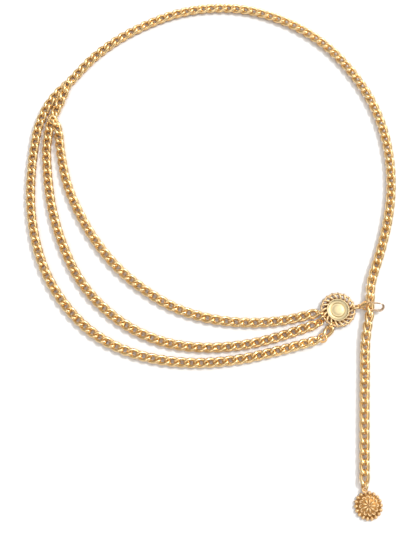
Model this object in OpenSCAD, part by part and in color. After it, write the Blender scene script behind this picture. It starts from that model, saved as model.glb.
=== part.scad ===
// Waist chain: a curb chain worn as a loop, doubled into three strands at the front.
// It lies flat. The origin is under the middle of the medallion, +Z points up.

/* [Loop] */
// Width of the whole loop, from side to side
loop_w = 267; // [262:1:272]

/* [Chain] */
// Thickness of the wire that every link is bent from
wire_d = 1.9; // [1.75:0.05:1.95]
// Width of a link
link_w = 7.3; // [7.2:0.05:7.5]
// Distance from one link to the next
link_pitch = 6.6; // [6.5:0.05:6.8]
// How far each end of a link is twisted out of its plane, in degrees
link_twist = 52; // [50:0.5:53]
// How square a link is: 1 is an oval, and a smaller number gives it straighter sides
link_square = 0.75; // [0.72:0.01:0.85]
// Slack between the ends of two hooked links
link_play = 0.4; // [0.35:0.05:0.5]

/* [Joining rings] */
// Thickness of the ring wire
ring_wire = 1.1; // [0.9:0.05:1.2]
// Spare room inside a ring
ring_play = 0.8; // [0.7:0.05:0.9]
// Lean of a ring from lying flat, in degrees
ring_lean = 60; // [57:1:63]

/* [Medallion] */
// Overall width of the medallion
medal_d = 24; // [23:0.5:26]
// Width of the coin in its middle
coin_d = 15.6; // [14.6:0.2:16]
// Height of the coin over the table
coin_h = 3.8; // [3.4:0.1:4.4]
// Wire round the outside of the pierced rim
rim_wire = 1.4; // [1.2:0.1:1.6]
// Thickness of the slanted bars in the rim
bar_d = 0.95; // [0.85:0.05:1]
// Height of the raised lines on the coin
relief_h = 0.35; // [0.2:0.05:0.6]

/* [Clasp] */
// Length of the clasp without its eye
clasp_len = 16.8; // [16:0.1:18]
// Width of the hook from wire middle to wire middle
hook_w = 5.8; // [5.6:0.1:6.2]
// Thickness of the hook's wire
hook_d = 1.25; // [1.1:0.05:1.3]
// Thickness of the flat body
body_t = 2.2; // [2:0.1:2.6]
// Thickness of the lever
lever_t = 0.9; // [0.7:0.05:1]
// Width of the lever
lever_w = 1.3; // [1.1:0.1:1.5]
// Diameter of the lever's pin
pin_d = 0.9; // [0.7:0.05:1]
// Wire of the eye at the clasp's end
eye_wire = 1; // [0.8:0.1:1.1]

/* [Pendant] */
// Overall width of the pendant
pendant_d = 18.6; // [17:0.2:21]
// Diameter of the beads round its edge
bead_d = 2.6; // [2.2:0.1:2.8]
// Height of the dome over the table
dome_h = 4.2; // [3.6:0.1:5]
// Thickness of the petals
petal_d = 1.1; // [0.8:0.1:1.3]

/* [Hidden] */
$fn = 48;
GOLD = [0.86, 0.66, 0.31];
PALE_GOLD = [0.93, 0.84, 0.6];
DEEP_GOLD = [0.82, 0.58, 0.25];
CHAMPAGNE = [0.72, 0.6, 0.4];
// Smallest gap between two pieces that hold each other
gap = 0.15;
// Gap between a piece and the table where it doesn't rest
lift = 0.08;

function turn(a) = [cos(a), sin(a), 0];
function unit(v) = v / norm(v);

// A link: half its length and half its width to the wire's middle
link_a = (link_pitch + wire_d + link_play) / 2;
link_b = (link_w - wire_d) / 2;
link_sides = 10;
wire_sides = 5;

// The link's centre line: a squared oval whose ends are twisted opposite ways
function squared(v) = sign(v) * pow(abs(v), link_square);
function link_curve(t) =
    let (x = squared(cos(t)), y = link_b * squared(sin(t)), twist = -link_twist * x)
    [link_a * x, y * cos(twist), y * sin(twist)];
link_mesh = [for (i = [0 : link_sides - 1])
    let (step = 360 / link_sides, t = (i + 0.5) * step, p = link_curve(t),
         along = unit(link_curve(t + step) - link_curve(t - step)),
         out = unit(p - along * (p * along)), side = cross(along, out))
    for (j = [0 : wire_sides - 1]) let (a = j * 360 / wire_sides)
        p + wire_d / 2 * (cos(a) * out + sin(a) * side)];
function link_faces(first) = [for (i = [0 : link_sides - 1], j = [0 : wire_sides - 1])
    let (k = (j + 1) % wire_sides, a = first + i * wire_sides,
         b = first + ((i + 1) % link_sides) * wire_sides)
    each [[a + j, b + j, a + k], [b + j, b + k, a + k]]];

// Height of a link's middle over the table when it is rolled about its length
function rest(roll) = lift + max([for (q = link_mesh) q[1] * sin(roll) + q[2] * cos(roll)]);
lie = rest(0);

// A ring has room for a link's wire, the rim's wire and some play
ring_in = wire_d + rim_wire + ring_play;
ring_r = (ring_in + ring_wire) / 2;
ring_rest = ring_r * sin(ring_lean) + ring_wire / 2 + lift;
// How much closer two pieces sit when they cross at an angle: a link and a leaning ring,
// and two rings
link_slack = 0.25;
ring_slack = 0.1;
// Distance from a link's middle to the middle of a ring that hangs in its end
link_to_ring = link_a - (wire_d + ring_wire) / 2 - gap + ring_r - link_slack;
// Distance between the middles of two rings that hold each other
ring_to_ring = 2 * ring_r - ring_wire - gap - ring_slack;

medal_r = medal_d / 2;
rim_r = medal_r - rim_wire / 2;
rim_z = ring_rest;
bars = 18;
bar_slant = 16;
// Rings reach through the rim in the middle of a gap between two bars
slot_r = medal_r - rim_wire - ring_wire / 2 - gap;
function slot(a) = slot_r * turn(a) + [0, 0, rim_z];
rim_hold = rim_r - slot_r;

// Where the three strands and the clasp join the rim, in degrees round it. Each ring points
// a few degrees away from there, so that the next piece lines up with its strand.
inner_at = 190;
middle_at = 210;
outer_at = 250;
clasp_at = 10;

inner_ring_at = inner_at - 8;
inner_ring_c = slot(inner_at) + ring_r * turn(inner_ring_at);
inner_end_c = inner_ring_c + link_to_ring * turn(inner_ring_at);

middle_rim_at = middle_at + 4;
middle_rim_c = slot(middle_at) + ring_r * turn(middle_rim_at);
middle_ring_at = middle_at + 12;
middle_ring_c = middle_rim_c + ring_to_ring * turn(middle_ring_at);
middle_end_c = middle_ring_c + link_to_ring * turn(middle_ring_at - 14);

// The single link between the outer strand's rings, and the ring at its lower end
outer_rim_at = outer_at - 14;
outer_rim_c = slot(outer_at) + ring_r * turn(outer_rim_at);
outer_link_at = outer_rim_at - 3;
outer_link_dir = -turn(outer_link_at - 2);
outer_link_roll = 30;
outer_end_roll = -33;
outer_link_c = outer_rim_c + link_to_ring * turn(outer_link_at);
outer_ring_at = outer_link_at - 5;
outer_ring_r = ring_r + (wire_d - rim_wire) / 2;
link_to_outer_ring = link_to_ring + outer_ring_r - ring_r;
outer_ring_flat = outer_link_c + link_to_outer_ring * turn(outer_ring_at);
outer_ring_c = [outer_ring_flat[0], outer_ring_flat[1], rest(outer_link_roll)];
outer_end_at = outer_ring_at - 22;
outer_end_c = outer_ring_c + link_to_outer_ring * turn(outer_end_at);

// The clasp's frame: its turn in plan and its lean about its own length. Distances along
// the clasp are u, from its eye, and distances across it are v.
clasp_turn = -5.9;
clasp_lean = 46;
hook_r = hook_w / 2;
function clasp_way(u, v) =
    [u * cos(clasp_turn) - v * cos(clasp_lean) * sin(clasp_turn),
     u * sin(clasp_turn) + v * cos(clasp_lean) * cos(clasp_turn), v * sin(clasp_lean)];
eye_play = 0.2;
eye_r = (eye_wire + ring_wire) / 2 + gap + eye_play;
eye = [0, -1.2];
tail_u = eye_r + hook_r;
nose_u = clasp_len - hook_r - hook_d / 2;
pivot = [tail_u - 1.1, 1.7];
lever_r = 1.1;
cheek_r = lever_r + 0.4;
slot_play = 0.1;
pin_play = 0.06;
// How far the hook's tip turns back, in degrees
tip_turn = 55;
tip_d = hook_d * 1.12;
lever_knee = [tail_u + 1.4, hook_r];
lever_tip = [nose_u + 0.2, hook_r];

// The hooked link rolls so that the hook's lower arm passes through its middle,
// under its left wire and over its right one
hooked_roll = 44;
hooked_u = 7.4;
hooked_at = 83;
hooked_dir = turn(hooked_at);
eye_z = rest(hooked_roll) + (hook_r + eye[1]) * sin(clasp_lean);
clasp_rise = asin((eye_z - rim_z) / (2 * ring_r - rim_hold));
clasp_ring_dir = cos(clasp_rise) * turn(clasp_at - 8) + [0, 0, sin(clasp_rise)];
clasp_ring_c = rim_r * turn(clasp_at) + [0, 0, rim_z] + (ring_r - rim_hold) * clasp_ring_dir;
clasp_pos = clasp_ring_c + ring_r * clasp_ring_dir - clasp_way(eye[0], eye[1]);
hooked_c = clasp_pos + clasp_way(hooked_u, -hook_r);
hooked_from = hooked_c - link_pitch / 2 * hooked_dir;
hooked_to = hooked_c + link_pitch / 2 * hooked_dir;

// Routes of the chain, chosen by hand for one width of the loop and drawn out to any other:
// x, y and roll. The tail's runs away from the clasp, so it rolls the other way.
route_w = 267;
function drawn(route) = [for (p = route) [p[0] * loop_w / route_w, p[1] * loop_w / route_w, p[2]]];
tail_route = drawn([
    [18.3, -17.5, -14], [17, -28, -3], [16.3, -39, 0], [14.8, -61.2, 0],
    [13.1, -89, 0], [11.4, -118, 0]]);
waist_route = drawn([
    [23.5, 17, 22], [26.4, 27, 10], [31.9, 42, 0], [38.8, 65.8, 0], [42.8, 90.2, 0],
    [43.1, 115, 0], [39.5, 139.5, 0], [31.6, 162.9, 0], [19.6, 184.5, 0], [4, 204.4, 0],
    [-15.4, 220.4, 0], [-37.7, 232.1, 0], [-61.9, 239, 0], [-87.1, 239.9, 0],
    [-111.9, 235.3, 0], [-135.1, 225.6, 0], [-156.7, 212.6, 0], [-175.8, 196.1, 0],
    [-192, 176.3, 0]]);
outer_route = drawn([
    [-201, 166.5, 0], [-208.1, 155.5, 0], [-212.6, 143, 0], [-215, 130.1, 0],
    [-216.6, 103.7, 0], [-215.6, 77.3, 0], [-210.8, 51.4, 0], [-201.8, 26.5, 0],
    [-187.8, 4.2, 0], [-169.3, -14.6, 0], [-146.4, -27.6, 0], [-120.8, -34.6, 0],
    [-94.5, -36.6, 0], [-68.2, -34.2, 0], [-44.4, -29, 0]]);
middle_route = drawn([
    [-188.4, 168.6, 0], [-194, 161.8, 0], [-200.9, 152, 0], [-205, 140.8, 0],
    [-206.6, 121.2, 0], [-204.1, 95.5, 0], [-199, 70.1, 0], [-190.5, 45.7, 0],
    [-178.7, 22.6, 0], [-162.1, 2.8, 0], [-141.5, -12.7, 0], [-117.8, -22.6, 0],
    [-92.3, -26.1, 0], [-66.5, -24.5, 0], [-43.3, -19.3, 0]]);
inner_route = drawn([
    [-197.9, 134, 0], [-196.3, 118.8, 0], [-190.7, 94.5, 0],
    [-180.9, 71.6, 0], [-168.2, 50.2, 0], [-152.5, 30.9, 0], [-133.5, 14.8, 0],
    [-112.2, 1.9, 0], [-88.6, -5.8, 0], [-63.9, -8.8, 0], [-39, -7.5, 0]]);

// A chain's height allows for this much more roll than it has
roll_spare = 1.1;

// Smooth curve through route points
function blend(a, b, c, d, t) =
    (2 * b + (c - a) * t + (2 * a - 5 * b + 4 * c - d) * t * t
    + (3 * b - a - 3 * c + d) * t * t * t) / 2;
steps = 10;
function smooth(p) = let (n = len(p)) [
    for (i = [0 : n - 2], k = [0 : (i == n - 2 ? steps : steps - 1)])
        blend(i == 0 ? 2 * p[0] - p[1] : p[i - 1], p[i], p[i + 1],
              i == n - 2 ? 2 * p[n - 1] - p[n - 2] : p[i + 2], k / steps)];
function plan(p) = [p[0], p[1]];
function lengths(p) = [
    for (i = 0, s = 0; i < len(p); s = s + (i < len(p) - 1 ? norm(plan(p[i + 1] - p[i])) : 0),
         i = i + 1) s];
function column(s, p, k) = [for (i = [0 : len(p) - 1]) [s[i], p[i][k]]];

// Points along a route at which two links hook, each as [x, y, z, roll].
// A fitted route ends on its last point, and a free one runs on at the links' own pitch.
function stations(route, fitted) =
    let (p = smooth(route), s = lengths(p), total = s[len(s) - 1],
         count = fitted ? round(total / link_pitch) : floor(total / link_pitch),
         step = fitted ? total / count : link_pitch,
         x = column(s, p, 0), y = column(s, p, 1), r = column(s, p, 2))
    [for (i = [0 : count]) let (d = step * i, roll = lookup(d, r))
        [lookup(d, x), lookup(d, y), rest(roll_spare * roll), roll]];
function spot(s) = [s[0], s[1], s[2]];
function stop_at(p, roll = 0) = [p[0], p[1], roll];

// Frame of a link that runs from one station to the next
function across(e, roll) =
    let (side = unit(cross([0, 0, 1], e)), up = cross(e, side))
    [e, side * cos(roll) + up * sin(roll), up * cos(roll) - side * sin(roll)];
function in_frame(f, q) = q[0] * f[0] + q[1] * f[1] + q[2] * f[2];

// Draws one link between each two neighbouring stations
module links(stops) {
    count = len(link_mesh);
    polyhedron(
        points = [for (i = [0 : len(stops) - 2])
            let (a = spot(stops[i]), b = spot(stops[i + 1]),
                 f = across(unit(b - a), (stops[i][3] + stops[i + 1][3]) / 2))
            for (q = link_mesh) (a + b) / 2 + in_frame(f, q)],
        faces = [for (i = [0 : len(stops) - 2]) each link_faces(i * count)],
        convexity = 6);
}

// Stations at the two ends of a single link
function link_stops(c, dir, roll) = [for (side = [-1, 1])
    let (p = c + side * link_pitch / 2 * dir) [p[0], p[1], rest(roll), roll]];

// Roll of the hooked link's neighbours where they hold it
hooked_edge = hooked_roll - 9;
tail_stops = stations(concat([stop_at(hooked_from, -hooked_edge)], tail_route), false);
waist_stops = stations(concat([stop_at(hooked_to, hooked_edge)], waist_route), true);
outer_stops = stations(concat([waist_route[len(waist_route) - 1]], outer_route,
    [stop_at(outer_end_c + link_pitch / 2 * turn(outer_end_at + 180), outer_end_roll)]), true);

// Pendant: its eye hangs on a ring in the tail's last link
pendant_r = pendant_d / 2;
pendant_turn = 102;
tail_tip = spot(tail_stops[len(tail_stops) - 1]);
tail_last = spot(tail_stops[len(tail_stops) - 2]);
tail_dir = unit(tail_last - tail_tip);
pendant_ring_c = (tail_tip + tail_last) / 2 - link_to_ring * tail_dir
               + [0, 0, ring_rest - lie];
pendant_eye_c = pendant_ring_c - ring_r * tail_dir;
eye_sunk = 0.3;
pendant_c = pendant_eye_c
          - (pendant_r + eye_r - eye_wire / 2 - eye_sunk) * turn(pendant_turn);
pendant_beads = 18;
petals = 12;
plate_r = pendant_r - bead_d / 2;
plate_edge = 0.6;
crown = dome_h - petal_d;

// A strand that is drawn as a plain band, a little slimmer than its chain
band_sides = 8;
band_slim = 0.15;
band_w = link_w - 2 * band_slim;
band_t = 2 * (lie - band_slim);
module band(route) {
    p = smooth(route);
    s = lengths(p);
    total = s[len(s) - 1];
    rings = ceil(total / (band_w * 1.4));
    stops = [for (i = [0 : rings]) let (d = total * i / rings)
        [lookup(d, column(s, p, 0)), lookup(d, column(s, p, 1)), lie]];
    last = len(stops) - 1;
    polyhedron(
        points = [for (i = [0 : last])
            let (e = unit(stops[min(i + 1, last)] - stops[max(i - 1, 0)]), f = across(e, 0))
            for (j = [0 : band_sides - 1]) let (a = (j + 0.5) * 360 / band_sides)
                stops[i] + band_w / 2 * cos(a) / cos(180 / band_sides) * f[1]
                + band_t / 2 * sin(a) / cos(180 / band_sides) * f[2]],
        faces = concat(
            [[for (j = [0 : band_sides - 1]) j]],
            [for (i = [0 : last - 1], j = [0 : band_sides - 1]) let (k = (j + 1) % band_sides)
                [i * band_sides + j, (i + 1) * band_sides + j,
                 (i + 1) * band_sides + k, i * band_sides + k]],
            [[for (j = [band_sides - 1 : -1 : 0]) last * band_sides + j]]),
        convexity = 4);
}

module main_chain() {
    color(GOLD) {
        links(tail_stops);
        links(link_stops(hooked_c, hooked_dir, hooked_roll));
        links(waist_stops);
    }
}

module outer_strand() {
    color(GOLD) links(outer_stops);
}

// A band stops this far from the middle of the ring that holds its strand
band_short = ring_r + ring_wire + 2 * gap;
module middle_strand() {
    color(GOLD) band(concat(middle_route,
        [stop_at(middle_ring_c + band_short * unit(middle_end_c - middle_ring_c))]));
}

module inner_strand() {
    color(GOLD) band(concat(inner_route,
        [stop_at(inner_ring_c + band_short * unit(inner_end_c - inner_ring_c))]));
}

// A round ring that leans over the line through it in the given direction
module join_ring(pos, dir, lean, r = ring_r) {
    rise = asin(dir[2] / norm(dir));
    translate(pos) rotate([0, -rise, atan2(dir[1], dir[0])]) rotate([lean, 0, 0])
        rotate_extrude() translate([r, 0]) circle(d = ring_wire);
}

module bar_between(a, b, d) {
    v = b - a;
    translate(a) rotate([0, acos(v[2] / norm(v)), atan2(v[1], v[0])])
        cylinder(d = d, h = norm(v));
}

coin_r = coin_d / 2;
coin_edge = 0.9;
coin_chamfer = 0.3;
// The coin's foot spreads under the bars as far as the rings leave room
foot_r = slot_r - ring_wire / 2 - gap;
foot_h = 1.3;
coin_field = coin_h - 0.5;
boss_r = coin_r * 0.42;
boss_top_r = coin_r * 0.2;
line_r = coin_r * 0.62;
module coin() {
    rotate_extrude() polygon([
        [0, 0], [foot_r - coin_chamfer, 0], [foot_r, coin_chamfer],
        [foot_r, foot_h - coin_chamfer], [foot_r - coin_chamfer, foot_h], [coin_r, foot_h],
        [coin_r, coin_h - coin_chamfer], [coin_r - coin_chamfer, coin_h],
        [coin_r - coin_edge, coin_h], [coin_r - coin_edge - coin_chamfer, coin_field],
        [boss_r, coin_field], [boss_top_r, coin_field + relief_h],
        [0, coin_field + relief_h]]);
}

// A raised line that follows an arc on the coin, and where each starts and how far it runs
coin_arcs = [[205, 130], [55, 80]];
module coin_line(from, sweep) {
    translate([0, 0, coin_field]) rotate([0, 0, from])
        rotate_extrude(angle = sweep) translate([line_r, 0]) circle(r = relief_h, $fn = 24);
}

// How far the bars run into the coin
bar_bite = 0.4;
module medallion() {
    inner_r = coin_r - bar_bite;
    share = (slot_r - inner_r) / (rim_r - inner_r);
    color(PALE_GOLD) {
        coin();
        for (arc = coin_arcs) coin_line(arc[0], arc[1]);
        translate([0, 0, rim_z]) rotate_extrude() translate([rim_r, 0]) circle(d = rim_wire);
        for (i = [0 : bars - 1]) {
            a = i * 360 / bars - share * bar_slant;
            bar_between(inner_r * turn(a) + [0, 0, rim_z],
                        rim_r * turn(a + bar_slant) + [0, 0, rim_z], bar_d);
        }
    }
}

module inner_ring() {
    color(GOLD) join_ring(inner_ring_c, turn(inner_ring_at), ring_lean);
}

module middle_rim_ring() {
    color(GOLD) join_ring(middle_rim_c, turn(middle_rim_at), -ring_lean);
}

module middle_ring() {
    color(DEEP_GOLD) join_ring(middle_ring_c, turn(middle_ring_at), ring_lean / 2);
}

module outer_rim_ring() {
    color(GOLD) join_ring(outer_rim_c, turn(outer_rim_at), -ring_lean);
}

module outer_link() {
    color(GOLD) links(link_stops(outer_link_c, outer_link_dir, outer_link_roll));
}

module outer_ring() {
    color(DEEP_GOLD) join_ring(outer_ring_c, -turn(outer_ring_at), 0, outer_ring_r);
}

module clasp_ring() {
    color(GOLD) join_ring(clasp_ring_c, clasp_ring_dir, -ring_lean);
}

module in_clasp() {
    translate(clasp_pos) rotate([0, 0, clasp_turn]) rotate([clasp_lean, 0, 0]) children();
}

// Part of a round wire bent to an arc
module arc_wire(pos, r, from, sweep, d) {
    translate([pos[0], pos[1], 0]) rotate([0, 0, from])
        rotate_extrude(angle = sweep) translate([r, 0]) circle(d = d);
}

// A flat strip with round ends
module strip(a, b, w) {
    run = b - a;
    translate(a) circle(d = w);
    translate(b) circle(d = w);
    translate(a) rotate(atan2(run[1], run[0])) translate([0, -w / 2]) square([norm(run), w]);
}

// Where the flat body starts, and the cut that lets the lever swing
body_from = [tail_u - hook_r + 0.6, 0.2];
swing = [0.4, 1, 4];
module clasp_body() {
    color(CHAMPAGNE) in_clasp() {
        arc_wire([nose_u, 0], hook_r, -90, 90 + tip_turn, hook_d);
        translate([nose_u + hook_r * cos(tip_turn), hook_r * sin(tip_turn), 0]) sphere(d = tip_d);
        translate([tail_u, -hook_r, 0]) rotate([0, 90, 0]) cylinder(d = hook_d, h = nose_u - tail_u);
        arc_wire([tail_u, 0], hook_r, 180, 90, hook_d);
        arc_wire(eye, eye_r, 0, 360, eye_wire);
        difference() {
            translate([0, 0, -body_t / 2]) linear_extrude(body_t)
                strip(body_from, pivot, 2 * cheek_r);
            translate([pivot[0], pivot[1], -lever_t / 2 - slot_play])
                cylinder(r = lever_r + slot_play, h = lever_t + 2 * slot_play);
            translate([pivot[0] - swing[0], pivot[1] - swing[1], -lever_t / 2 - slot_play])
                cube([swing[2], swing[2], lever_t + 2 * slot_play]);
        }
        translate([pivot[0], pivot[1], -body_t / 2]) cylinder(d = pin_d, h = body_t);
    }
}

module clasp_lever() {
    color(CHAMPAGNE) in_clasp() translate([0, 0, -lever_t / 2]) difference() {
        linear_extrude(lever_t) union() {
            translate(pivot) circle(r = lever_r);
            strip(pivot, lever_knee, lever_w);
            strip(lever_knee, lever_tip, lever_w);
        }
        translate([pivot[0], pivot[1], -lever_t])
            cylinder(d = pin_d + 2 * pin_play, h = 3 * lever_t);
    }
}

module pendant_ring() {
    color(GOLD) join_ring(pendant_ring_c, tail_dir, -ring_lean);
}

// Petals run from the crown to a ring of dots over the plate's edge
petal_in = 1.8;
dots_r = plate_r * 0.72;
dot_d = petal_d * 1.25;
dot_z = dome_h / 2 + petal_d / 4;
stem_d = eye_wire * 1.4;
stem = [2.2, 1.3];
module pendant_dome() {
    rotate_extrude() polygon([
        [0, 0], [plate_r - plate_edge, 0], [plate_r, plate_edge], [plate_r, bead_d / 2],
        [plate_r * 0.8, bead_d / 2 + (crown - bead_d / 2) * 0.45],
        [plate_r * 0.45, crown - 0.2], [0, crown]]);
    for (i = [0 : petals - 1]) rotate(i * 360 / petals) {
        bar_between([petal_in, 0, crown], [dots_r, 0, dot_z], petal_d);
        translate([dots_r, 0, dot_z]) sphere(d = dot_d, $fn = 32);
    }
    translate([0, 0, crown]) sphere(d = petal_d * 2, $fn = 32);
}

module pendant() {
    color(DEEP_GOLD) {
        translate([pendant_c[0], pendant_c[1], 0]) {
            pendant_dome();
            // The eye takes the place of one bead
            for (i = [1 : pendant_beads - 1]) rotate(pendant_turn + i * 360 / pendant_beads)
                translate([plate_r, 0, bead_d / 2]) sphere(d = bead_d, $fn = 32);
        }
        translate(pendant_eye_c) rotate_extrude() translate([eye_r, 0]) circle(d = eye_wire);
        bar_between(pendant_eye_c - eye_r * turn(pendant_turn),
            pendant_eye_c - (eye_r + stem[0]) * turn(pendant_turn) - [0, 0, stem[1]], stem_d);
    }
}

main_chain();
outer_strand();
middle_strand();
inner_strand();
medallion();
inner_ring();
middle_ring();
middle_rim_ring();
outer_ring();
outer_link();
outer_rim_ring();
clasp_ring();
clasp_body();
clasp_lever();
pendant_ring();
pendant();
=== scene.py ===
from math import cos, hypot, pi, radians, sin

import bpy
from mathutils import Matrix, Vector


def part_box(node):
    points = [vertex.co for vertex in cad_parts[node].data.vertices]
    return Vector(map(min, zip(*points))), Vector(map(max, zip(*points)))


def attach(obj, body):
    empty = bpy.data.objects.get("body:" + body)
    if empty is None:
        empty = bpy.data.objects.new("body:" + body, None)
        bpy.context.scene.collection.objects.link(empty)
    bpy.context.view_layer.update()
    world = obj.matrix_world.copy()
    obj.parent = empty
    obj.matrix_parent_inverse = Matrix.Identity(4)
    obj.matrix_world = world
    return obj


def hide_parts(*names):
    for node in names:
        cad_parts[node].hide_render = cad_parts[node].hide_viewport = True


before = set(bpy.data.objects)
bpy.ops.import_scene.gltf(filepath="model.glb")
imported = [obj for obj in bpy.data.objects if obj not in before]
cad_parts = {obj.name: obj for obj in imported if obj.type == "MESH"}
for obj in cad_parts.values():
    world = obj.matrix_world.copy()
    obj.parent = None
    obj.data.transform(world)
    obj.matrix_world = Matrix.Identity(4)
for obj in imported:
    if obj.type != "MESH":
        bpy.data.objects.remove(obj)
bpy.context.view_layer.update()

# Pieces are modelled in millimetres and made metres when they are finished
MM = 0.001

# Sizes and places below are in millimetres and degrees. A way is seen from above, from +X
# towards +Y, and a roll is a link's turn about its own length.

# Curb links: half sizes go to the middle of the wire
LINK_WIRE = 2.35
LINK_PITCH = 6.6
LINK_HALF_LENGTH = 4.6
LINK_HALF_WIDTH = 2.4
LINK_TWIST = -52
LINK_SQUARENESS = 0.75
TABLE_GAP = 0.08

# The link that the clasp holds, and the single link of the outer strand
HOOKED_MIDDLE = Vector((21.869, 0.149, 0))
HOOKED_WAY = 83
HOOKED_ROLL = 44
BESIDE_HOOK_ROLL = 35
OUTER_LINK_MIDDLE = Vector((-7.939, -15.571, 0))
OUTER_LINK_WAY = 51
OUTER_LINK_ROLL = 30

# The last link of each strand, seen from its jump ring: middle x and y, and way
OUTER_END = (-16.406, -21.952, 206)
OUTER_END_ROLL = -33
MIDDLE_END = (-18.137, -11.398, 208)
INNER_END = (-17.495, -1.99, 182)

# Jump rings: name, node, way, rise, lean, radius and slot
RING_WIRE = 1.25
RING_CUT_WAY = 70
RINGS = [
    ("inner_jump_ring", "inner_ring", 182, 0, 60, 2.6, "gold"),
    ("middle_rim_jump_ring", "middle_rim_ring", 214, 0, -60, 2.6, "gold"),
    ("middle_jump_ring", "middle_ring", 222, 0, 30, 2.6, "deep_gold"),
    ("outer_rim_jump_ring", "outer_rim_ring", 236, 0, -60, 2.6, "gold"),
    ("outer_jump_ring", "outer_ring", 46, 0, 0, 2.85, "deep_gold"),
    ("clasp_jump_ring", "clasp_ring", 2, 22.8, -60, 2.6, "gold"),
    ("pendant_jump_ring", "pendant_ring", 86.7, 0, -60, 2.6, "gold")]

# Medallion
FOOT_R = 9.2
FOOT_HEIGHT = 1.3
COIN_R = 7.8
COIN_HEIGHT = 3.8
LINE_R = 4.84
LINE_HEIGHT = 3.3
RIM_R = 11.3
RIM_WIRE = 1.4
RIM_HEIGHT = 2.882
BARS = 18
BAR_SLANT = 18

# Eyes of the clasp and of the pendant
EYE_R = 1.4
EYE_WIRE = 1

# Clasp, drawn flat along X, and its place on the part
CLASP_EYE = Vector((0, -1.2, 0))
HOOK_R = 2.9
TAIL_TURN_X = 4.3
NOSE_TURN_X = 13.275
PIVOT = Vector((3.2, 1.7, 0))
SHELL_START = Vector((2, 0.2, 0))
LEVER_THICKNESS = 0.9
CLASP = (Matrix.Translation((14.715, 2.914, 5.217)) @ Matrix.Rotation(radians(-5.9), 4, "Z")
         @ Matrix.Rotation(radians(46), 4, "X"))

# Pendant
PENDANT = Vector((13.391, -128.853, 0))
PENDANT_EYE = Vector((11.333, -119.169, 2.882))
PENDANT_WAY = 102
DISH_R = 8
DISH_EDGE = 1.3
DISH_RISE = 1.7
EDGE_PLACES = 18
PETALS = 9
SCROLLS = 12
GRANULES = 6

# Routes of the chains' middle lines: x, y and the roll of the links there
TAIL_ROUTE = [
    (18.3, -17.5, -14), (17, -28, -3), (16.3, -39, 0), (14.8, -61.2, 0),
    (13.1, -89, 0), (11.4, -118, 0)]
WAIST_ROUTE = [
    (23.5, 17, 22), (26.4, 27, 10), (31.9, 42, 0), (38.8, 65.8, 0), (42.8, 90.2, 0),
    (43.1, 115, 0), (39.5, 139.5, 0), (31.6, 162.9, 0), (19.6, 184.5, 0), (4, 204.4, 0),
    (-15.4, 220.4, 0), (-37.7, 232.1, 0), (-61.9, 239, 0), (-87.1, 239.9, 0),
    (-111.9, 235.3, 0), (-135.1, 225.6, 0), (-156.7, 212.6, 0), (-175.8, 196.1, 0),
    (-192, 176.3, 0)]
OUTER_ROUTE = [
    (-201, 166.5, 0), (-208.1, 155.5, 0), (-212.6, 143, 0), (-215, 130.1, 0),
    (-216.6, 103.7, 0), (-215.6, 77.3, 0), (-210.8, 51.4, 0), (-201.8, 26.5, 0),
    (-187.8, 4.2, 0), (-169.3, -14.6, 0), (-146.4, -27.6, 0), (-120.8, -34.6, 0),
    (-94.5, -36.6, 0), (-68.2, -34.2, 0), (-44.4, -29, 0)]
MIDDLE_ROUTE = [
    (-193.4, 174.2, -60), (-195.4, 167.8, -50), (-197.8, 160.6, -20), (-201.5, 151.6, 0),
    (-205, 140.8, 0), (-206.6, 121.2, 0), (-204.1, 95.5, 0), (-199, 70.1, 0),
    (-190.5, 45.7, 0), (-178.7, 22.6, 0), (-162.1, 2.8, 0), (-141.5, -12.7, 0),
    (-117.8, -22.6, 0), (-92.3, -26.1, 0), (-66.5, -24.5, 0), (-43.3, -19.3, 0)]
INNER_ROUTE = [
    (-203.9, 145.8, -35), (-200.3, 139.8, -28), (-198.2, 132.5, -8), (-196.3, 118.8, 0),
    (-190.7, 94.5, 0), (-180.9, 71.6, 0), (-168.2, 50.2, 0), (-152.5, 30.9, 0),
    (-133.5, 14.8, 0), (-112.2, 1.9, 0), (-88.6, -5.8, 0), (-63.9, -8.8, 0), (-39, -7.5, 0)]


def turned(way):
    """A flat vector of length one that points this way."""
    return Vector((cos(radians(way)), sin(radians(way)), 0))


# Camera and light

def set_camera():
    """The camera looks down on the table from the near side. Its place is in metres."""
    bpy.ops.object.camera_add(location=(-0.0946, -0.1297, 0.5304),
                              rotation=(radians(16.6), 0, 0))
    camera = bpy.context.object
    camera.name = "camera"
    camera.data.sensor_fit = "VERTICAL"
    camera.data.sensor_height = 36
    camera.data.lens = 52.44
    camera.data.clip_start = 0.01
    bpy.context.scene.camera = camera


def soft_light(name, way, spread, strength):
    """Even light from one side of the studio: a wide spread makes its shadows soft."""
    turn = (-Vector(way)).to_track_quat("-Z", "Y").to_euler()
    bpy.ops.object.light_add(type="SUN", location=way, rotation=turn)
    lamp = bpy.context.object
    lamp.name = name
    lamp.data.angle = radians(spread)
    lamp.data.energy = strength


# Finishes

class Tap:
    """A socket of a finish that takes part in sums."""

    def __init__(self, finish, socket):
        self.finish = finish
        self.socket = socket

    def sum_of(self, operation, a, b):
        return self.finish.add("ShaderNodeMath", {"operation": operation}, {0: a, 1: b})

    def __add__(self, other):
        return self.sum_of("ADD", self, other)

    def __radd__(self, other):
        return self.sum_of("ADD", other, self)

    def __sub__(self, other):
        return self.sum_of("SUBTRACT", self, other)

    def __rsub__(self, other):
        return self.sum_of("SUBTRACT", other, self)

    def __mul__(self, other):
        return self.sum_of("MULTIPLY", self, other)

    def __rmul__(self, other):
        return self.sum_of("MULTIPLY", other, self)

    def __pow__(self, other):
        return self.sum_of("POWER", self, other)


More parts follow.
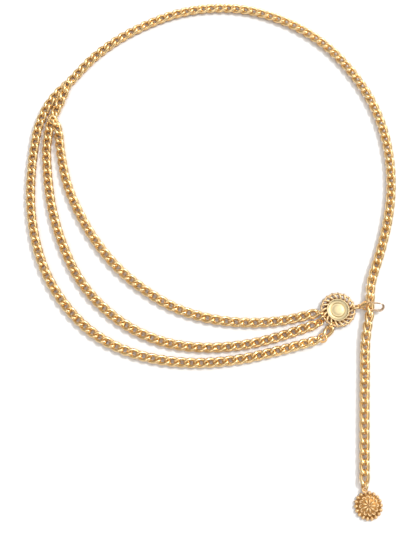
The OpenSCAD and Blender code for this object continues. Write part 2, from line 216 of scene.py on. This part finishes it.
class Finish:
    """The nodes of one material, or of the studio's walls."""

    def __init__(self, owner, place="Object"):
        owner.use_nodes = True
        self.owner = owner
        self.tree = owner.node_tree
        self.tree.nodes.clear()
        self.place = self.add("ShaderNodeTexCoord", out=place)

    def add(self, kind, settings=None, inputs=None, out=0):
        """One node: its settings come first, then values or links for its sockets."""
        node = self.tree.nodes.new(kind)
        for name, value in (settings or {}).items():
            setattr(node, name, value)
        for name, value in (inputs or {}).items():
            if isinstance(value, Tap):
                self.tree.links.new(value.socket, node.inputs[name])
            else:
                node.inputs[name].default_value = value
        return Tap(self, node.outputs[out] if node.outputs else None)

    def noise(self, scale, detail=2):
        return self.add("ShaderNodeTexNoise",
                        inputs={"Vector": self.place, "Scale": scale, "Detail": detail})

    def mixed(self, share, first, second):
        """A colour between two others, each of them fixed or the result of other nodes."""
        first, second = (tone if isinstance(tone, Tap) else (*tone, 1)
                         for tone in (first, second))
        return self.add("ShaderNodeMix", {"data_type": "RGBA"},
                        {"Factor": share, "A": first, "B": second}, out="Result")

    def height(self):
        return self.add("ShaderNodeSeparateXYZ", inputs={"Vector": self.place}, out="Z")

    def ramp(self, value, start, end):
        """Runs from 0 to 1 while a value goes from its start to its end."""
        return self.add("ShaderNodeMapRange",
                        inputs={"Value": value, "From Min": start, "From Max": end})

    def bump(self, strength, depth, wear):
        return self.add("ShaderNodeBump", inputs={
            "Strength": strength, "Distance": depth * MM, "Height": wear})

    def surface(self, inputs):
        shader = self.add("ShaderNodeBsdfPrincipled", inputs=inputs)
        self.add("ShaderNodeOutputMaterial", inputs={"Surface": shader})
        return self.owner


def new_finish(name):
    return Finish(bpy.data.materials.new(name))


def studio_walls():
    """Dim walls overhead that turn pale down at the table's far edge."""
    world = bpy.context.scene.world or bpy.data.worlds.new("studio")
    bpy.context.scene.world = world
    walls = Finish(world, "Generated")
    share = walls.ramp(walls.height(), 0.05, 0.2)
    glow = walls.add("ShaderNodeBackground", inputs={
        "Color": walls.mixed(share, (1, 1, 1), (0.27, 0.26, 0.245))})
    walls.add("ShaderNodeOutputWorld", inputs={"Surface": glow})


def plated(name, bright, deep, rough, painted_shade_tone=None, painted_shade_heights=(0, 1)):
    """Gold plating: its tone drifts from piece to piece, and fine wear shows in its shine.
    A painted shade tone, for the shade that falls on the wires low down, fades out between two
    heights over the table."""
    finish = new_finish(name)
    drift = finish.noise(90)
    wear = finish.noise(700, 4)
    tone = finish.mixed(drift, deep, bright)
    if painted_shade_tone:
        low, high = painted_shade_heights
        # Painted shade: the low parts of the wires near the table are coloured darker, fading
        # out between two heights
        tone = finish.mixed(finish.ramp(finish.height(), low * MM, high * MM), painted_shade_tone, tone)
    return finish.surface({
        "Base Color": tone, "Metallic": 1.0, "Roughness": rough + 0.14 * (wear - 0.4),
        "Normal": finish.bump(0.2, 0.02, wear), "Coat Weight": 0.5, "Coat Roughness": 0.25})


def coin_plating():
    """Pale gold coin, deeper gold round it, and painted shade low between the bars and on the
    coin's lines.
    """
    finish = new_finish("pale_gold_plating")
    wear = finish.noise(500, 4)
    flat = finish.add("ShaderNodeVectorMath", {"operation": "MULTIPLY"},
                      {0: finish.place, 1: (1, 1, 0)})
    far = finish.add("ShaderNodeVectorMath", {"operation": "LENGTH"}, {0: flat}, out="Value")
    round_coin = finish.ramp(far, 7.2 * MM, 8.2 * MM)
    raised = finish.ramp(finish.height(), 2.4 * MM, 3.6 * MM)
    # Painted shade: a darker ring along the circle of the raised lines on the coin
    from_line = far - LINE_R * MM
    clear_of_line_shade = finish.ramp(from_line * from_line, (0.15 * MM) ** 2, (0.6 * MM) ** 2)
    face = finish.mixed(clear_of_line_shade, (0.48, 0.36, 0.18), (0.61, 0.505, 0.30))
    # Painted shade: the rim is coloured darker low down, under and between the bars
    rim = finish.mixed(raised, (0.38, 0.18, 0.05), (0.82, 0.60, 0.34))
    return finish.surface({
        "Base Color": finish.mixed(round_coin, face, rim), "Metallic": 1.0,
        "Roughness": 0.46 + 0.1 * wear, "Normal": finish.bump(0.3, 0.05, wear)})


def clasp_plating():
    """Polished plating on the clasp: deep gold at its eye, worn paler towards its nose."""
    finish = new_finish("champagne_plating")
    wear = finish.noise(700, 4)
    along = finish.add("ShaderNodeSeparateXYZ", inputs={"Vector": finish.place}, out="X")
    worn = finish.ramp(along + 2 * MM * wear, 19 * MM, 27 * MM)
    return finish.surface({
        "Base Color": finish.mixed(worn, (0.90, 0.58, 0.26), (0.70, 0.52, 0.37)),
        "Metallic": 1.0, "Roughness": 0.2 + 0.14 * wear,
        "Normal": finish.bump(0.2, 0.02, wear)})


def flower_plating():
    """Plating on the pendant: its own tone on what is raised, and painted shade on the ground
    between.
    """
    finish = new_finish("flower_plating")
    drift = finish.noise(250)
    wear = finish.noise(900, 4)
    from_middle = finish.add("ShaderNodeVectorMath", {"operation": "SUBTRACT"},
                             {0: finish.place, 1: MM * PENDANT})
    flat = finish.add("ShaderNodeVectorMath", {"operation": "MULTIPLY"},
                      {0: from_middle, 1: (1, 1, 0)})
    far_squared = finish.add("ShaderNodeVectorMath", {"operation": "DOT_PRODUCT"},
                             {0: flat, 1: flat}, out="Value")
    share = (1 / (DISH_R * MM) ** 2) * far_squared
    dome = DISH_EDGE * MM + DISH_RISE * MM * (1 - share) ** 0.8
    # Painted shade: the ground below the raised leaves and beads is coloured darker
    raised = finish.ramp(finish.height() - dome, 0.15 * MM, 0.55 * MM)
    bright = finish.mixed(drift, (0.84, 0.56, 0.26), (0.95, 0.68, 0.38))
    return finish.surface({
        "Base Color": finish.mixed(raised, (0.45, 0.23, 0.07), bright), "Metallic": 1.0,
        "Roughness": 0.44 + 0.12 * wear, "Normal": finish.bump(0.4, 0.1, wear)})


def pale_table():
    """A plain pale table top."""
    finish = new_finish("pale_table")
    tone = finish.mixed(finish.noise(30, 3), (0.93, 0.93, 0.93), (0.95, 0.95, 0.95))
    return finish.surface({"Base Color": tone, "Roughness": 0.9})


# Tools

def pick(*pieces):
    """Selects these pieces and nothing else."""
    bpy.ops.object.select_all(action="DESELECT")
    for piece in pieces:
        piece.select_set(True)
    bpy.context.view_layer.objects.active = pieces[0]


def edit(piece, mode="FACE"):
    """Opens a piece in edit mode with nothing selected in it."""
    pick(piece)
    bpy.ops.object.mode_set(mode="EDIT")
    bpy.ops.mesh.select_mode(type=mode)
    bpy.ops.mesh.select_all(action="DESELECT")


def done():
    bpy.ops.object.mode_set(mode="OBJECT")


def mark(piece, kind, test):
    """Selects the vertices, edges or polygons for which test(middle, way) holds: the way is
    the normal, or runs along an edge."""
    done()
    mesh = piece.data
    for item in getattr(mesh, kind):
        if kind == "vertices":
            item.select = test(item.co, item.normal)
        elif kind == "edges":
            a, b = (mesh.vertices[i] for i in item.vertices)
            item.select = test((a.co + b.co) / 2, (b.co - a.co).normalized())
        else:
            item.select = test(item.center, item.normal)
    bpy.ops.object.mode_set(mode="EDIT")


def settle(piece):
    """Puts the piece's place, turn and size into its mesh."""
    pick(piece)
    bpy.ops.object.transform_apply(location=True, rotation=True, scale=True)


def put(piece, matrix):
    """Moves a finished shape by a matrix and applies it."""
    piece.matrix_world = matrix @ piece.matrix_world
    settle(piece)


def copy_at(shape, matrix):
    """A copy with its own mesh, placed by a matrix."""
    twin = shape.copy()
    twin.data = shape.data.copy()
    bpy.context.collection.objects.link(twin)
    twin.matrix_world = matrix
    return twin


def spun(degrees):
    """Matrix of a turn about the upright axis."""
    return Matrix.Rotation(radians(degrees), 4, "Z")


def joined(pieces, name):
    """One object of several shapes, with their places in its mesh."""
    pick(*pieces)
    bpy.ops.object.transform_apply(location=True, rotation=True, scale=True)
    if len(pieces) > 1:
        bpy.ops.object.join()
    piece = bpy.context.object
    piece.name = piece.data.name = name
    return piece


def finish_piece(piece, material, node, body="root"):
    """Makes a shape's millimetres metres and puts it in its node's place."""
    piece.scale = (MM, MM, MM)
    settle(piece)
    piece.data.materials.clear()
    piece.data.materials.append(material)
    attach(piece, body)
    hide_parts(node)


def smoothed(piece, angle):
    """Smooth shading, with the edges sharper than an angle kept."""
    pick(piece)
    bpy.ops.object.shade_smooth_by_angle(angle=radians(angle))
    return piece


def step_in(steps):
    """Insets the selected face again and again, each time by a width and a height."""
    for width, height in steps:
        bpy.ops.mesh.inset(thickness=width, depth=height, use_boundary=True)


def torus(radius, wire, middle, around):
    """A closed ring of round wire, lying flat."""
    bpy.ops.mesh.primitive_torus_add(major_segments=around, minor_segments=12,
                                     major_radius=radius, minor_radius=wire / 2,
                                     location=middle)
    bpy.ops.object.shade_smooth()
    return bpy.context.object


def turned_disc(radius, depth, around):
    """A disc on the clasp's pivot, with its edges eased."""
    bpy.ops.mesh.primitive_cylinder_add(vertices=around, radius=radius, depth=depth,
                                        location=PIVOT)
    disc = bpy.context.object
    settle(disc)
    edit(disc, "EDGE")
    mark(disc, "edges", lambda co, way: abs(way.z) < 0.5)
    bpy.ops.mesh.bevel(offset=0.1, segments=2, affect="EDGES")
    done()
    return smoothed(disc, 35)


def bent_wire(name, points, thickness, smoothness=6, roundness=3):
    """A wire bent through points, as thick at each as thickness says."""
    bpy.ops.curve.primitive_bezier_curve_add(location=(0, 0, 0))
    curve = bpy.context.object
    curve.name = name
    bpy.ops.object.mode_set(mode="EDIT")
    bpy.ops.curve.select_all(action="SELECT")
    bpy.ops.curve.subdivide(number_cuts=len(points) - 2)
    done()
    curve.data.dimensions = "3D"
    widest = max(thickness)
    knots = curve.data.splines[0].bezier_points
    for knot, point, thick in zip(knots, points, thickness):
        knot.co = point
        knot.handle_left_type = knot.handle_right_type = "AUTO"
        knot.radius = thick / widest
    curve.data.resolution_u = smoothness
    curve.data.bevel_depth = widest / 2
    curve.data.bevel_resolution = roundness
    curve.data.use_fill_caps = True
    pick(curve)
    bpy.ops.object.convert(target="MESH")
    wire = bpy.context.object
    edit(wire, "VERT")
    bpy.ops.mesh.select_all(action="SELECT")
    bpy.ops.mesh.remove_doubles(threshold=0.0005)
    bpy.ops.mesh.normals_make_consistent(inside=False)
    done()
    return smoothed(wire, 50)


# Chain

def bowed(share):
    """Squares an oval off: its sides run straight for longer."""
    return abs(share) ** LINK_SQUARENESS * (1 if share > 0 else -1)


def curve_at(t):
    """Point of a link's centre line: a squared oval whose ends are twisted opposite ways."""
    x, y = bowed(cos(radians(t))), LINK_HALF_WIDTH * bowed(sin(radians(t)))
    twist = radians(LINK_TWIST * x)
    return Vector((LINK_HALF_LENGTH * x, y * cos(twist), y * sin(twist)))


def rest(roll):
    """Height of a link's middle over the table when it is rolled about its length."""
    a = radians(roll)
    reach = max(p.y * sin(a) + p.z * cos(a) for p in (curve_at(t) for t in range(0, 360, 3)))
    return TABLE_GAP + LINK_WIRE / 2 + reach


def link_shape():
    """One curb link: a ring of wire drawn out to an oval, its ends twisted opposite ways."""
    knots = 16
    bpy.ops.mesh.primitive_circle_add(vertices=knots, radius=1, location=(0, 0, 0))
    link = bpy.context.object
    edit(link, "VERT")
    for k in range(knots // 2 + 1):
        x = cos(2 * pi * k / knots)
        y = (1 - x * x) ** 0.5
        mark(link, "vertices", lambda co, n: abs(co.x - x) < 0.01 and abs(abs(co.y) - y) < 0.01)
        wide = LINK_HALF_WIDTH * bowed(y) / y if y > 0.01 else 1
        long = LINK_HALF_LENGTH * bowed(x) / x if abs(x) > 0.01 else 1
        bpy.ops.transform.resize(value=(long, wide, 1), center_override=(0, 0, 0))
        bpy.ops.transform.rotate(value=-radians(LINK_TWIST * bowed(x)), orient_axis="X",
                                 center_override=(0, 0, 0))
        bpy.ops.mesh.select_all(action="DESELECT")
    done()
    bpy.ops.object.convert(target="CURVE")
    link = bpy.context.object
    link.data.bevel_depth = LINK_WIRE / 2
    link.data.bevel_resolution = 2
    bpy.ops.object.convert(target="MESH")
    bpy.ops.object.shade_smooth()
    link.name = "link"
    return link


def blend(a, b, c, d, t):
    """A point from b to c, on a smooth curve through all four."""
    return (2 * b + (c - a) * t + (2 * a - 5 * b + 4 * c - d) * t * t
            + (3 * b - a - 3 * c + d) * t * t * t) / 2


def stations(route, fitted):
    """Places where two links of a strand hook, each with its roll. A fitted strand fills its
    route with whole links, and another one stops short of its end."""
    p = [Vector(q) for q in route]
    fine = []
    for i in range(len(p) - 1):
        before = p[i - 1] if i else 2 * p[0] - p[1]
        after = p[i + 2] if i + 2 < len(p) else 2 * p[-1] - p[-2]
        fine += [blend(before, p[i], p[i + 1], after, k / 10) for k in range(10)]
    fine.append(p[-1])
    run = [0]
    for a, b in zip(fine, fine[1:]):
        run.append(run[-1] + hypot(b.x - a.x, b.y - a.y))
    count = round(run[-1] / LINK_PITCH) if fitted else int(run[-1] / LINK_PITCH)
    step = run[-1] / count if fitted else LINK_PITCH
    stops, i = [], 0
    for k in range(count + 1):
        at = min(step * k, run[-1])
        while i < len(fine) - 2 and run[i + 1] < at:
            i += 1
        q = fine[i].lerp(fine[i + 1], (at - run[i]) / (run[i + 1] - run[i]))
        # A link rolls from one station to the next, so it clears the table at rolls near by
        high = max(rest(q.z * share) for share in (0.7, 0.85, 1, 1.1))
        stops.append((Vector((q.x, q.y, high)), q.z))
    return stops


def link_place(a, b, roll):
    """Matrix of a link that reaches from one place to another."""
    along = (b - a).normalized()
    side = Vector((0, 0, 1)).cross(along).normalized()
    up = along.cross(side)
    r = radians(roll)
    y, z = side * cos(r) + up * sin(r), up * cos(r) - side * sin(r)
    turn = Matrix((along, y, z)).transposed().to_4x4()
    return Matrix.Translation((a + b) / 2) @ turn


def strand(link, stops):
    return [copy_at(link, link_place(a, b, (ra + rb) / 2))
            for (a, ra), (b, rb) in zip(stops, stops[1:])]


def single_link(link, middle, way, roll):
    """A link that lies on the table by itself."""
    half = LINK_PITCH / 2 * turned(way)
    middle = middle + Vector((0, 0, rest(roll)))
    return copy_at(link, link_place(middle - half, middle + half, roll))


def strand_end(x, y, way, roll=0):
    """The last station of a strand, from the middle and the way of its last link."""
    end = Vector((x, y, 0)) + LINK_PITCH / 2 * turned(way + 180)
    return (end.x, end.y, roll)


def make_chains(material):
    link = link_shape()
    half = LINK_PITCH / 2 * turned(HOOKED_WAY)
    south, north = HOOKED_MIDDLE - half, HOOKED_MIDDLE + half
    tail = stations([(south.x, south.y, -BESIDE_HOOK_ROLL)] + TAIL_ROUTE, False)
    waist = stations([(north.x, north.y, BESIDE_HOOK_ROLL)] + WAIST_ROUTE, True)
    outer = stations([WAIST_ROUTE[-1]] + OUTER_ROUTE
                     + [strand_end(*OUTER_END, OUTER_END_ROLL)], True)
    middle = stations(MIDDLE_ROUTE + [strand_end(*MIDDLE_END)], True)
    inner = stations(INNER_ROUTE + [strand_end(*INNER_END)], True)
    main = strand(link, tail) + strand(link, waist)
    main.append(single_link(link, HOOKED_MIDDLE, HOOKED_WAY, HOOKED_ROLL))
    for pieces, node in ((main, "main_chain"), (strand(link, outer), "outer_strand"),
                         (strand(link, middle), "middle_strand"),
                         (strand(link, inner), "inner_strand")):
        finish_piece(joined(pieces, node + "_links"), material, node)
    last = single_link(link, OUTER_LINK_MIDDLE, OUTER_LINK_WAY, OUTER_LINK_ROLL)
    finish_piece(joined([last], "outer_single_link"), material, "outer_link")
    bpy.data.objects.remove(link)


# Jump rings

def jump_ring(name, node, way, rise, lean, radius, material):
    """A ring of wire bent nearly shut, with a fine cut where its ends meet."""
    low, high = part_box(node)
    middle = (low + high) / 2 / MM
    bpy.ops.mesh.primitive_circle_add(vertices=12, radius=RING_WIRE / 2,
                                      fill_type="NGON", location=(radius, 0, 0),
                                      rotation=(pi / 2, 0, 0))
    ring = bpy.context.object
    edit(ring)
    bpy.ops.mesh.select_all(action="SELECT")
    bpy.ops.mesh.spin(steps=44, angle=radians(358), center=(0, 0, 0), axis=(0, 0, 1))
    bpy.ops.mesh.select_all(action="SELECT")
    bpy.ops.mesh.remove_doubles(threshold=0.001)
    bpy.ops.mesh.normals_make_consistent(inside=False)
    done()
    settle(ring)
    smoothed(ring, 40)
    put(ring, Matrix.Translation(middle) @ spun(way) @ Matrix.Rotation(-radians(rise), 4, "Y")
        @ Matrix.Rotation(radians(lean), 4, "X") @ spun(RING_CUT_WAY))
    ring.name = ring.data.name = name
    finish_piece(ring, material, node)


# Medallion

def coin():
    """The coin: a spread foot under the bars, a raised edge and a low boss."""
    bpy.ops.mesh.primitive_cylinder_add(vertices=96, radius=FOOT_R, depth=FOOT_HEIGHT,
                                        location=(0, 0, FOOT_HEIGHT / 2))
    disc = bpy.context.object
    settle(disc)
    edit(disc)
    mark(disc, "polygons", lambda co, n: n.z > 0.9)
    step_in([(FOOT_R - COIN_R, 0)])
    bpy.ops.mesh.extrude_region_move(
        TRANSFORM_OT_translate={"value": (0, 0, COIN_HEIGHT - FOOT_HEIGHT)})
    top = COIN_HEIGHT - 0.01
    bpy.ops.mesh.select_mode(type="EDGE")
    bpy.ops.mesh.select_all(action="DESELECT")
    mark(disc, "edges", lambda co, way: abs(way.z) < 0.5
         and (co.xy.length > FOOT_R - 0.2 or co.z > top))
    bpy.ops.mesh.bevel(offset=0.28, segments=3, affect="EDGES")
    bpy.ops.mesh.select_mode(type="FACE")
    bpy.ops.mesh.select_all(action="DESELECT")
    mark(disc, "polygons", lambda co, n: n.z > 0.9 and co.z > top)
    step_in([(0.35, 0), (0.2, -0.1), (0.25, -0.3), (0.15, -0.1), (2.6, 0), (0.3, 0.05),
             (0.45, 0.12), (0.5, 0.1), (0.6, 0.06), (0.8, 0.02)])
    done()
    return smoothed(disc, 35)


def arc_line(start, sweep):
    """A raised line round the boss, thickest in its middle."""
    steps = 8
    points = [LINE_R * turned(start + sweep * k / steps) + Vector((0, 0, LINE_HEIGHT))
              for k in range(steps + 1)]
    thick = [0.2 + 0.5 * sin(pi * k / steps) for k in range(steps + 1)]
    return bent_wire("coin_line", points, thick, smoothness=4)


def rim_bar():
    """One slanted bar of the rim: bowed up, fullest in its middle, and drawn over the wire."""
    inner, outer = 7.3, 11.9
    thick = [1.1, 1.3, 1.6, 1.75, 1.75, 1.6, 1.3]
    points = []
    for k in range(len(thick)):
        share = k / (len(thick) - 1)
        rise = 0.05 + 0.5 * sin(0.85 * pi * share)
        points.append((inner + (outer - inner) * share) * turned(BAR_SLANT * (share - 0.6))
                      + Vector((0, 0, RIM_HEIGHT + rise)))
    for r, share, drop, wide in ((12.1, 0.44, 0.1, 0.9), (11.9, 0.45, 0.5, 0.5)):
        points.append(r * turned(BAR_SLANT * share) + Vector((0, 0, RIM_HEIGHT - drop)))
        thick.append(wide)
    return bent_wire("bar", points, thick, smoothness=3, roundness=2)


def make_medallion(material):
    bar = rim_bar()
    pieces = [coin(), arc_line(205, 130), arc_line(55, 80)]
    pieces += [copy_at(bar, spun(360 * k / BARS)) for k in range(BARS)]
    bpy.data.objects.remove(bar)
    pieces.append(torus(RIM_R, RIM_WIRE, (0, 0, RIM_HEIGHT), 96))
    finish_piece(joined(pieces, "medallion_coin_and_rim"), material, "medallion")


# Clasp

def hook_wire():
    """The clasp's hook: round its tail, along its arm, round its nose and back a little."""
    tail, nose = Vector((TAIL_TURN_X, 0, 0)), Vector((NOSE_TURN_X, 0, 0))
    points, thick = [], []
    for way, wide in ((165, 1.35), (195, 1.5), (225, 1.5), (250, 1.4), (270, 1.3)):
        points.append(tail + HOOK_R * turned(way))
        thick.append(wide)
    for share, wide in ((0.25, 1.22), (0.5, 1.3), (0.75, 1.55)):
        points.append(tail.lerp(nose, share) + HOOK_R * turned(270))
        thick.append(wide)
    for way, wide in ((-90, 1.7), (-65, 1.75), (-40, 1.8), (-15, 1.8), (10, 1.7), (33, 1.5),
                      (55, 1.2), (64, 0.7)):
        points.append(nose + HOOK_R * turned(way))
        thick.append(wide)
    return bent_wire("hook", points, thick, smoothness=5, roundness=4)


def clasp_shell():
    """Two cheeks that hold the lever: a rounded block with a slot cut through it."""
    run = PIVOT - SHELL_START
    turn = run.to_2d().angle_signed(Vector((1, 0)))
    bpy.ops.mesh.primitive_cylinder_add(vertices=40, radius=1.5, depth=2.2,
                                        location=SHELL_START, rotation=(0, 0, turn))
    shell = bpy.context.object
    shell.name = "shell"
    settle(shell)
    edit(shell, "VERT")
    mark(shell, "vertices", lambda co, n: (co - PIVOT + run).dot(run) > 0.01)
    bpy.ops.transform.translate(value=run)
    bpy.ops.mesh.select_mode(type="EDGE")
    bpy.ops.mesh.select_all(action="DESELECT")
    mark(shell, "edges", lambda co, way: abs(way.z) < 0.1)
    bpy.ops.mesh.bevel(offset=0.3, segments=3, affect="EDGES")
    done()
    slot = LEVER_THICKNESS + 0.2
    bpy.ops.mesh.primitive_cylinder_add(vertices=40, radius=1.2, depth=slot, location=PIVOT)
    cutters = [bpy.context.object]
    bpy.ops.mesh.primitive_cube_add(size=1, location=(4.8, 2.7, 0), scale=(4, 4, slot))
    cutters.append(bpy.context.object)
    for cutter in cutters:
        settle(cutter)
        cut = shell.modifiers.new("slot", "BOOLEAN")
        cut.object = cutter
        cut.operation = "DIFFERENCE"
        cut.solver = "EXACT"
        pick(shell)
        bpy.ops.object.modifier_apply(modifier=cut.name)
        bpy.data.objects.remove(cutter)
    return smoothed(shell, 35)


def make_clasp(material):
    pieces = [hook_wire(), clasp_shell(), torus(EYE_R, EYE_WIRE, CLASP_EYE, 40)]
    pieces.append(turned_disc(0.45, 2.36, 24))
    body = joined(pieces, "clasp_hook_and_eye")
    put(body, CLASP)
    finish_piece(body, material, "clasp_body")


def make_lever(material):
    knee, tip = Vector((5.7, HOOK_R, 0)), Vector((NOSE_TURN_X + 0.2, HOOK_R, 0))
    points = [PIVOT, PIVOT.lerp(knee, 0.5), knee, knee.lerp(tip, 0.3), knee.lerp(tip, 0.7), tip,
              tip + Vector((0.4, 0, 0)), tip + Vector((0.62, 0, 0))]
    bar = bent_wire("bar", points, [1.5, 1.45, 1.35, 1.3, 1.25, 1.2, 1.05, 0.6], smoothness=5,
                    roundness=4)
    bar.scale = (1, 1, LEVER_THICKNESS / 1.3)
    settle(bar)
    lever = joined([bar, turned_disc(1.1, LEVER_THICKNESS, 40)], "clasp_spring_lever")
    put(lever, CLASP)
    finish_piece(lever, material, "clasp_lever", "lever")


# Pendant

def pendant_dish():
    """The pendant's ground: a flat back with eased edges under a low dome."""
    bpy.ops.mesh.primitive_cylinder_add(vertices=90, radius=DISH_R, depth=DISH_EDGE,
                                        location=(0, 0, DISH_EDGE / 2))
    dish = bpy.context.object
    settle(dish)
    edit(dish, "EDGE")
    mark(dish, "edges", lambda co, way: co.z < 0.01 and abs(way.z) < 0.5)
    bpy.ops.mesh.bevel(offset=0.6, segments=3, affect="EDGES")
    bpy.ops.mesh.select_mode(type="FACE")
    bpy.ops.mesh.select_all(action="DESELECT")
    mark(dish, "polygons", lambda co, n: n.z > 0.9 and co.z > DISH_EDGE - 0.01)
    step_in([(0.8, 0.3), (0.8, 0.45), (0.9, 0.35), (0.9, 0.25), (0.9, 0.15), (1, 0.12),
             (1, 0.06)])
    done()
    return smoothed(dish, 35)


def bead(name, size, drawn_in=1.0):
    """A small round bead, drawn out towards the middle of the flower."""
    bpy.ops.mesh.primitive_uv_sphere_add(segments=16, ring_count=10, radius=size / 2,
                                         location=(0, 0, 0))
    shape = bpy.context.object
    shape.name = name
    edit(shape, "VERT")
    mark(shape, "vertices", lambda co, n: co.x < -0.2 * size / 2)
    bpy.ops.transform.resize(value=(drawn_in, 0.75, 0.8), center_override=(0, 0, 0))
    done()
    bpy.ops.object.shade_smooth()
    return shape


def dome_height(r):
    """Height of the pendant's dome at a distance from its middle."""
    return DISH_EDGE + DISH_RISE * (1 - (min(r, DISH_R) / DISH_R) ** 2) ** 0.8


def leaf(name, steps):
    """One raised leaf on the dome, through steps of distance, degrees and thickness."""
    points = [r * turned(way) + Vector((0, 0, dome_height(r) + 0.2)) for r, way, _ in steps]
    return bent_wire(name, points, [thick for _, _, thick in steps], smoothness=3,
                     roundness=2)


def make_pendant(material):
    pieces = [pendant_dish()]
    edge_bead, dot = bead("edge_bead", 2.6, 1.5), bead("dot", 1.3)
    granule = bead("granule", 0.8)
    petal = leaf("petal", [(1.2, 0, 0.5), (2.0, 0, 1.15), (2.9, 0, 1.55), (3.7, 0, 1.35),
                           (4.5, 0, 0.5)])
    scroll = leaf("scroll", [(4.5, -12, 0.5), (5.2, -7, 0.9), (6.0, 1, 1.05), (5.9, 9, 0.9),
                             (5.1, 11, 0.7)])
    # The eye takes the first place at the edge, and beads take the others
    for k in range(1, EDGE_PLACES):
        spin = spun(PENDANT_WAY + 360 / EDGE_PLACES * k)
        pieces.append(copy_at(edge_bead, spin @ Matrix.Translation((DISH_R, 0, DISH_EDGE))))
    for k in range(PETALS):
        pieces.append(copy_at(petal, spun(360 / PETALS * k)))
    for k in range(SCROLLS):
        spin = spun(360 / SCROLLS * k)
        pieces.append(copy_at(scroll, spin))
        pieces.append(copy_at(granule, spin @ Matrix.Translation((5, 0.3, 2.6))))
    for k in range(GRANULES):
        spin = spun(360 / GRANULES * k)
        pieces.append(copy_at(granule, spin @ Matrix.Translation((1, 0, 3.3))))
    pieces.append(copy_at(dot, Matrix.Translation((0, 0, 3.3))))
    for shape in (edge_bead, dot, petal, scroll, granule):
        bpy.data.objects.remove(shape)
    flower = joined(pieces, "flower")
    put(flower, Matrix.Translation(PENDANT))
    to_eye = turned(PENDANT_WAY)
    start = PENDANT_EYE - 1.3 * to_eye
    stem = bent_wire("stem", [start, start - 0.8 * to_eye - Vector((0, 0, 0.3)),
                              start - 2.3 * to_eye - Vector((0, 0, 1.3))], [1.3, 1.4, 1.5])
    eye = torus(EYE_R, EYE_WIRE, PENDANT_EYE, 40)
    finish_piece(joined([flower, stem, eye], "flower_pendant"), material,
                 "pendant")


# Studio

set_camera()
bpy.context.scene.view_settings.view_transform = "Standard"
bpy.ops.mesh.primitive_plane_add(size=6, location=(0, 0, 0))
table = bpy.context.object
table.name = "table"
table.data.materials.append(pale_table())

studio_walls()
soft_light("overhead_light", (0.23, 0.4, 1.3), 78, 1.36)
soft_light("key_light", (0.75, 0.42, 1.05), 9, 1.6)
soft_light("fill_light", (-0.58, -0.75, 1.1), 20, 0.5)

# Waist chain

# The last two values are the painted shade on the links near the table and the heights over
# which it fades
gold = plated("gold_plating", (0.95, 0.71, 0.38), (0.90, 0.60, 0.25), 0.28,
              (0.66, 0.31, 0.04), (0.4, 3.0))
orange_gold = plated("orange_gold_plating", (0.94, 0.62, 0.27), (0.85, 0.47, 0.16), 0.26)
flower_gold = flower_plating()
coin_gold = coin_plating()
clasp_gold = clasp_plating()

make_chains(gold)
ring_finish = {"gold": gold, "deep_gold": orange_gold}
for name, node, way, rise, lean, radius, slot in RINGS:
    jump_ring(name, node, way, rise, lean, radius, ring_finish[slot])
make_medallion(coin_gold)
make_clasp(clasp_gold)
make_lever(clasp_gold)
make_pendant(flower_gold)
